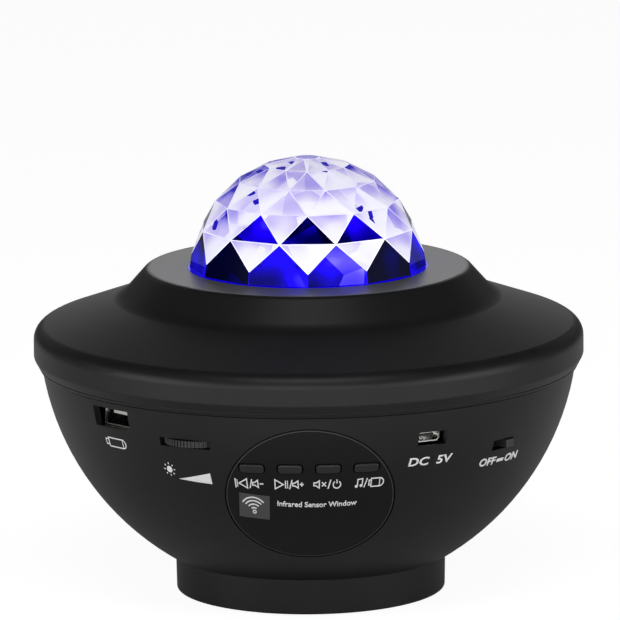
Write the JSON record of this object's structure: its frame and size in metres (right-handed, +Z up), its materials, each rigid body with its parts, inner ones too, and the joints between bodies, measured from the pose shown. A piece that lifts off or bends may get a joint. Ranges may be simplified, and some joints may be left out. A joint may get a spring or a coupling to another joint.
{
  "type": "star night light projector",
  "caption": "Bowl-shaped star projector night light with a faceted clear dome over a motor-driven lamp, a built-in speaker and a front control panel.",
  "frame": {"origin": "centre of the rubber feet's plane, on the table under the lamp's vertical axis", "axes": "+Z up along the lamp's vertical axis, -Y towards the control panel, +X to the right seen from the front"},
  "size_m": [0.165, 0.165, 0.1316],
  "materials": {
    "black_abs": "fine matt moulded ABS with a soft sheen",
    "panel_film": "printed matt film on a moulded disc",
    "button_abs": "moulded ABS, satin",
    "smoked_window": "smoked acrylic that passes infrared",
    "clear_crystal": "clear faceted polycarbonate",
    "clear_acrylic": "clear moulded acrylic",
    "black_chassis": "moulded black ABS",
    "white_acetal": "moulded white acetal",
    "circuit_board": "green solder mask",
    "white_circuit_board": "white solder mask on aluminium",
    "led_red": "LED package",
    "led_green": "LED package",
    "led_blue": "LED package, lit",
    "led_white": "LED package",
    "bare_aluminium": "extruded aluminium",
    "laser_brass": "turned brass",
    "plated_steel": "nickel-plated pressed steel",
    "screw_steel": "blackened steel",
    "black_rubber": "moulded rubber",
    "speaker_paper": "coated paper cone",
    "speaker_steel": "black-painted pressed steel"
  },
  "bodies": {
    "lamp_body": {"base_screws": "screw_steel", "board_chips": "black_chassis", "board_screws": "screw_steel", "bowl_housing": "black_abs", "button_board": "circuit_board", "button_board_screws": "screw_steel", "control_panel": "panel_film", "cover_screws": "screw_steel", "dome": "clear_crystal", "dome_retainer": "black_chassis", "gear_motor": "plated_steel", "heat_sink": "bare_aluminium", "lamp_chassis": "black_chassis", "laser_module": "laser_brass", "led_blue": "led_blue", "led_board": "white_circuit_board", "led_green": "led_green", "led_red": "led_red", "led_white": "led_white", "lens_array": "clear_acrylic", "main_board": "circuit_board", "micro_usb_shell": "plated_steel", "micro_usb_tongue": "black_chassis", "pedestal": "black_abs", "potentiometer": "black_chassis", "remote_sensor": "black_chassis", "retainer_screws": "screw_steel", "rubber_foot_1": "black_rubber", "rubber_foot_2": "black_rubber", "rubber_foot_3": "black_rubber", "rubber_foot_4": "black_rubber", "sensor_window": "smoked_window", "speaker_cone": "speaker_paper", "speaker_frame": "speaker_steel", "speaker_grille": "black_abs", "speaker_magnet": "plated_steel", "speaker_screws": "screw_steel", "switch_body": "black_chassis", "tact_switches": "black_chassis", "top_cover": "black_abs", "usb_shell": "plated_steel", "usb_tongue": "white_acetal"},
    "button_1": {"button_1": "button_abs"},
    "button_2": {"button_2": "button_abs"},
    "button_3": {"button_3": "button_abs"},
    "button_4": {"button_4": "button_abs"},
    "power_slider": {"switch_knob": "button_abs"},
    "brightness_wheel": {"thumbwheel": "button_abs"},
    "wave_wheel": {"wave_ring": "white_acetal", "wave_lens": "clear_acrylic"},
    "grating_wheel": {"grating_ring": "white_acetal", "star_grating": "clear_acrylic"},
    "motor_output": {"drive_pinion": "white_acetal"}
  },
  "joints": [
    {"name": "button_1_press", "type": "slide", "parent": "lamp_body", "child": "button_1", "axis": [0, 0.8741, 0.4858], "range_m": [0, 0.0006], "stiffness_N_per_m": 400},
    {"name": "button_2_press", "type": "slide", "parent": "lamp_body", "child": "button_2", "axis": [0, 0.8741, 0.4858], "range_m": [0, 0.0006], "stiffness_N_per_m": 400},
    {"name": "button_3_press", "type": "slide", "parent": "lamp_body", "child": "button_3", "axis": [0, 0.8741, 0.4858], "range_m": [0, 0.0006], "stiffness_N_per_m": 400},
    {"name": "button_4_press", "type": "slide", "parent": "lamp_body", "child": "button_4", "axis": [0, 0.8741, 0.4858], "range_m": [0, 0.0006], "stiffness_N_per_m": 400},
    {"name": "power_slide", "type": "slide", "parent": "lamp_body", "child": "power_slider", "axis": [0.6665, 0.7455, 0], "range_m": [-0.0046, 0]},
    {"name": "brightness_turn", "type": "hinge", "parent": "lamp_body", "child": "brightness_wheel", "pos_m": [-0.03233, -0.06054, 0.059], "axis": [0, 0, 1], "range_deg": [-140, 140]},
    {"name": "wave_spin", "type": "hinge", "parent": "lamp_body", "child": "wave_wheel", "pos_m": [-0.008, 0, 0.0905], "axis": [0, 0, 1], "continuous": true},
    {"name": "grating_spin", "type": "hinge", "parent": "lamp_body", "child": "grating_wheel", "pos_m": [0.02, 0, 0.0905], "axis": [0, 0, 1], "continuous": true},
    {"name": "motor_spin", "type": "hinge", "parent": "lamp_body", "child": "motor_output", "pos_m": [-0.008, 0.0248, 0.0905], "axis": [0, 0, 1], "continuous": true}
  ],
  "couplings": [
    {"joint": "motor_spin", "follows": "wave_spin", "ratio": -4.1667},
    {"joint": "grating_spin", "follows": "wave_spin", "ratio": -2.5}
  ]
}
